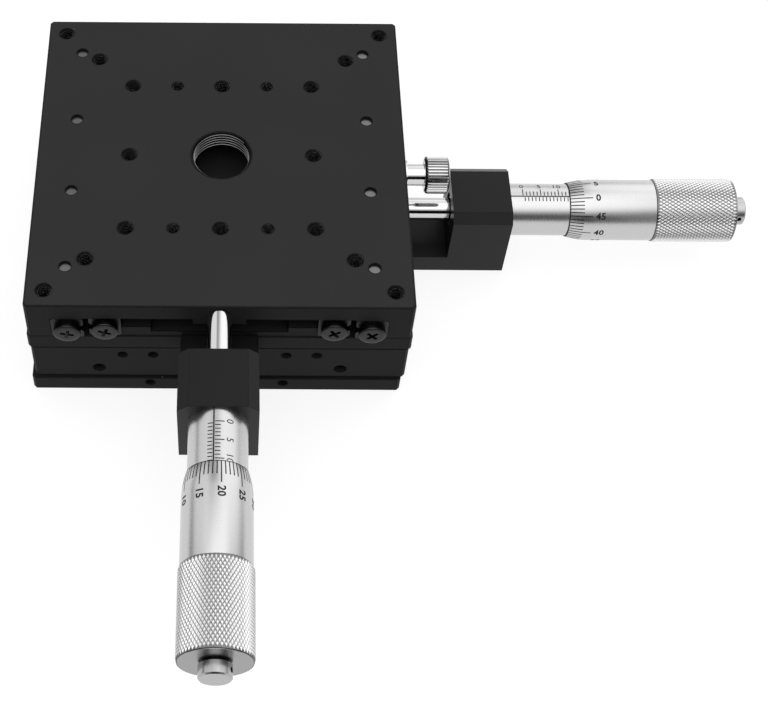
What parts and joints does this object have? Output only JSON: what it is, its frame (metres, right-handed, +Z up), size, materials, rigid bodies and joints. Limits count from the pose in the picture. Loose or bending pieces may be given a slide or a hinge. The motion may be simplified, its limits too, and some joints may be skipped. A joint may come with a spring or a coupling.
{
  "type": "x-y positioning table",
  "caption": "Two square crossed-roller stages stacked at right angles, each moved by a micrometer on an L-shaped bracket, with a drilled and tapped top plate and lock screws.",
  "frame": {"origin": "centre of the lower base plate's underside", "axes": "+X towards the lower stage's micrometer, -Y towards the upper stage's micrometer, +Z up through the table"},
  "size_m": [0.2009, 0.2091, 0.045],
  "materials": {
    "anodised_plate": "satin black anodised",
    "anodised_bracket": "satin black anodised",
    "guide_steel": "ground bearing steel, blackened",
    "roller_steel": "hardened and ground",
    "cage_brass": "matt",
    "black_screw": "black oxide",
    "satin_chrome": "satin chrome plated",
    "bright_chrome": "polished",
    "spring_wire": "drawn wire",
    "pad_brass": "turned"
  },
  "bodies": {
    "lower_base": {"x_base_plate": "anodised_plate", "x_base_rail_right": "guide_steel", "x_base_rail_left": "guide_steel", "x_bracket": "anodised_bracket", "x_bracket_screws": "black_screw", "x_stem_clamp_screw": "black_screw", "x_sleeve": "satin_chrome", "x_spindle_nut": "pad_brass", "x_base_spring_pins": "roller_steel", "x_return_springs": "spring_wire", "x_base_rail_screws": "black_screw", "x_base_stop_screws": "black_screw"},
    "middle": {"x_table_plate": "anodised_plate", "x_table_rail_right": "guide_steel", "x_table_rail_left": "guide_steel", "x_contact_pin": "roller_steel", "x_table_spring_pins": "roller_steel", "x_lock_bush": "bright_chrome", "x_preload_screws": "black_screw", "x_table_rail_screws": "black_screw", "x_table_stop_screws": "black_screw", "y_base_plate": "anodised_plate", "y_base_rail_right": "guide_steel", "y_base_rail_left": "guide_steel", "y_bracket": "anodised_bracket", "y_bracket_screws": "black_screw", "y_stem_clamp_screw": "black_screw", "y_sleeve": "satin_chrome", "y_spindle_nut": "pad_brass", "y_base_spring_pins": "roller_steel", "y_return_springs": "spring_wire", "y_base_rail_screws": "black_screw", "y_base_stop_screws": "black_screw", "stage_joining_screws": "black_screw"},
    "top": {"y_table_plate": "anodised_plate", "y_table_rail_right": "guide_steel", "y_table_rail_left": "guide_steel", "y_contact_pin": "roller_steel", "y_table_spring_pins": "roller_steel", "y_lock_bush": "bright_chrome", "y_preload_screws": "black_screw", "y_table_rail_screws": "black_screw", "y_table_stop_screws": "black_screw"},
    "x_cages": {"x_roller_cage_right": "cage_brass", "x_roller_cage_left": "cage_brass", "x_rollers": "roller_steel"},
    "y_cages": {"y_roller_cage_right": "cage_brass", "y_roller_cage_left": "cage_brass", "y_rollers": "roller_steel"},
    "x_micrometer": {"x_spindle": "bright_chrome", "x_thimble": "satin_chrome", "x_thimble_cap": "satin_chrome"},
    "y_micrometer": {"y_spindle": "bright_chrome", "y_thimble": "satin_chrome", "y_thimble_cap": "satin_chrome"},
    "x_lock_end": {"x_lock_pad": "pad_brass"},
    "y_lock_end": {"y_lock_pad": "pad_brass"},
    "x_lock": {"x_lock_screw": "bright_chrome"},
    "y_lock": {"y_lock_screw": "bright_chrome"}
  },
  "joints": [
    {"name": "x_table_slide", "type": "slide", "parent": "lower_base", "child": "middle", "axis": [1, 0, 0], "range_m": [-0.013, 0.0116], "deforming": ["x_return_springs"]},
    {"name": "x_thimble_turn", "type": "hinge", "parent": "middle", "child": "x_micrometer", "pos_m": [0.12, 0, 0.016], "axis": [1, 0, 0], "range_deg": [-9360.01, 8352.01]},
    {"name": "x_cage_slide", "type": "slide", "parent": "lower_base", "child": "x_cages", "axis": [1, 0, 0], "range_m": [-0.0065, 0.0058]},
    {"name": "y_table_slide", "type": "slide", "parent": "middle", "child": "top", "axis": [0, -1, 0], "range_m": [-0.01068, 0.0119], "deforming": ["y_return_springs"]},
    {"name": "y_thimble_turn", "type": "hinge", "parent": "top", "child": "y_micrometer", "pos_m": [0.0009, -0.12, 0.036], "axis": [0, -1, 0], "range_deg": [-7689.61, 8568.01]},
    {"name": "y_cage_slide", "type": "slide", "parent": "middle", "child": "y_cages", "axis": [0, -1, 0], "range_m": [-0.00534, 0.00595]},
    {"name": "x_lock_press", "type": "slide", "parent": "middle", "child": "x_lock_end", "axis": [0, 1, 0], "range_m": [-0.0001, 0.0008]},
    {"name": "x_lock_turn", "type": "hinge", "parent": "x_lock_end", "child": "x_lock", "pos_m": [0.0009, 0.056, 0.012], "axis": [0, 1, 0], "range_deg": [-45.01, 360.01]},
    {"name": "y_lock_press", "type": "slide", "parent": "top", "child": "y_lock_end", "axis": [1, 0, 0], "range_m": [-0.0001, 0.0008]},
    {"name": "y_lock_turn", "type": "hinge", "parent": "y_lock_end", "child": "y_lock", "pos_m": [0.0569, -0.0006, 0.032], "axis": [1, 0, 0], "range_deg": [-45.01, 360.01]}
  ],
  "couplings": [
    {"joint": "x_thimble_turn", "follows": "x_table_slide", "rad_per_m": 12566},
    {"joint": "x_cage_slide", "follows": "x_table_slide", "ratio": 0.5},
    {"joint": "y_thimble_turn", "follows": "y_table_slide", "rad_per_m": 12566},
    {"joint": "y_cage_slide", "follows": "y_table_slide", "ratio": 0.5},
    {"joint": "x_lock_turn", "follows": "x_lock_press", "rad_per_m": 7854},
    {"joint": "y_lock_turn", "follows": "y_lock_press", "rad_per_m": 7854}
  ]
}
